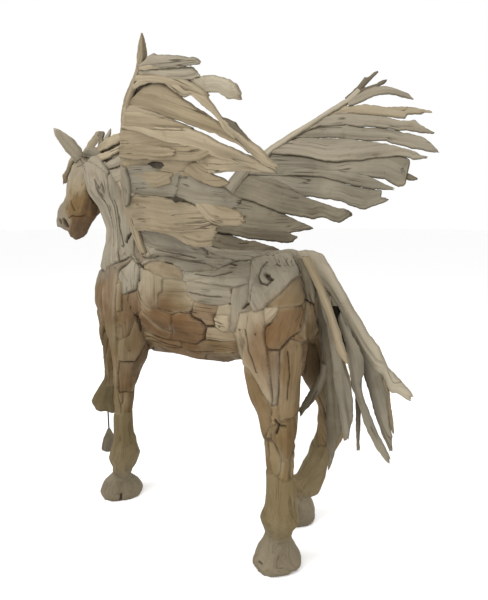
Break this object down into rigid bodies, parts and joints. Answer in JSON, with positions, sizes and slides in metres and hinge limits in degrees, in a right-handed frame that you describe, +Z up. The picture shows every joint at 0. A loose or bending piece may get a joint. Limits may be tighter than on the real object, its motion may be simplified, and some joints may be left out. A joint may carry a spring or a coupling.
{
  "type": "winged horse sculpture",
  "caption": "Standing winged horse built up from weathered driftwood boards, with raised wings and a raised foreleg on a rod.",
  "frame": {"origin": "on the ground, under the middle of the sculpture's outline", "axes": "+Z up, the horse faces -Y, its left side is +X"},
  "size_m": [1.3488, 2.0708, 2.1254],
  "materials": {
    "body_wood": "weathered bare driftwood",
    "head_wood": "weathered bare driftwood",
    "mane_wood": "weathered bare driftwood",
    "leg_wood": "weathered bare driftwood",
    "left_wing_wood": "weathered bare driftwood",
    "right_wing_wood": "weathered bare driftwood",
    "tail_wood": "weathered bare driftwood",
    "foot_wood": "weathered bare driftwood",
    "rod_metal": "dull black"
  },
  "bodies": {
    "root": {"trunk": "body_wood", "neck": "body_wood", "head": "head_wood", "ear_left": "head_wood", "ear_right": "head_wood", "forelock": "mane_wood", "mane_lock_1": "mane_wood", "mane_lock_2": "mane_wood", "mane_lock_3": "mane_wood", "mane_lock_4": "mane_wood", "mane_lock_5": "mane_wood", "foreleg_left": "leg_wood", "foreleg_right": "leg_wood", "hindleg_left": "leg_wood", "hindleg_right": "leg_wood", "prop_rod": "rod_metal", "prop_foot": "foot_wood", "tail_main_branch": "tail_wood", "tail_long_strand": "tail_wood", "tail_curved_strand": "tail_wood", "tail_thin_strand": "tail_wood", "tail_broad_strand": "tail_wood", "tail_side_branch": "tail_wood", "wing_spar_left": "left_wing_wood", "left_feather_01": "left_wing_wood", "left_feather_02": "left_wing_wood", "left_feather_03": "left_wing_wood", "left_feather_04": "left_wing_wood", "left_feather_05": "left_wing_wood", "left_feather_06": "left_wing_wood", "left_feather_07": "left_wing_wood", "left_feather_08": "left_wing_wood", "left_feather_09": "left_wing_wood", "left_feather_10": "left_wing_wood", "left_feather_11": "left_wing_wood", "left_feather_12": "left_wing_wood", "left_feather_13": "left_wing_wood", "left_feather_14": "left_wing_wood", "left_feather_15": "left_wing_wood", "wing_spar_right": "right_wing_wood", "right_twig_01": "right_wing_wood", "right_twig_02": "right_wing_wood", "right_twig_03": "right_wing_wood", "right_feather_01": "right_wing_wood", "right_feather_02": "right_wing_wood", "right_feather_03": "right_wing_wood", "right_feather_04": "right_wing_wood", "right_feather_05": "right_wing_wood", "right_feather_06": "right_wing_wood", "right_feather_07": "right_wing_wood", "right_feather_08": "right_wing_wood", "right_feather_09": "right_wing_wood", "right_feather_10": "right_wing_wood", "right_feather_11": "right_wing_wood"}
  },
  "joints": []
}
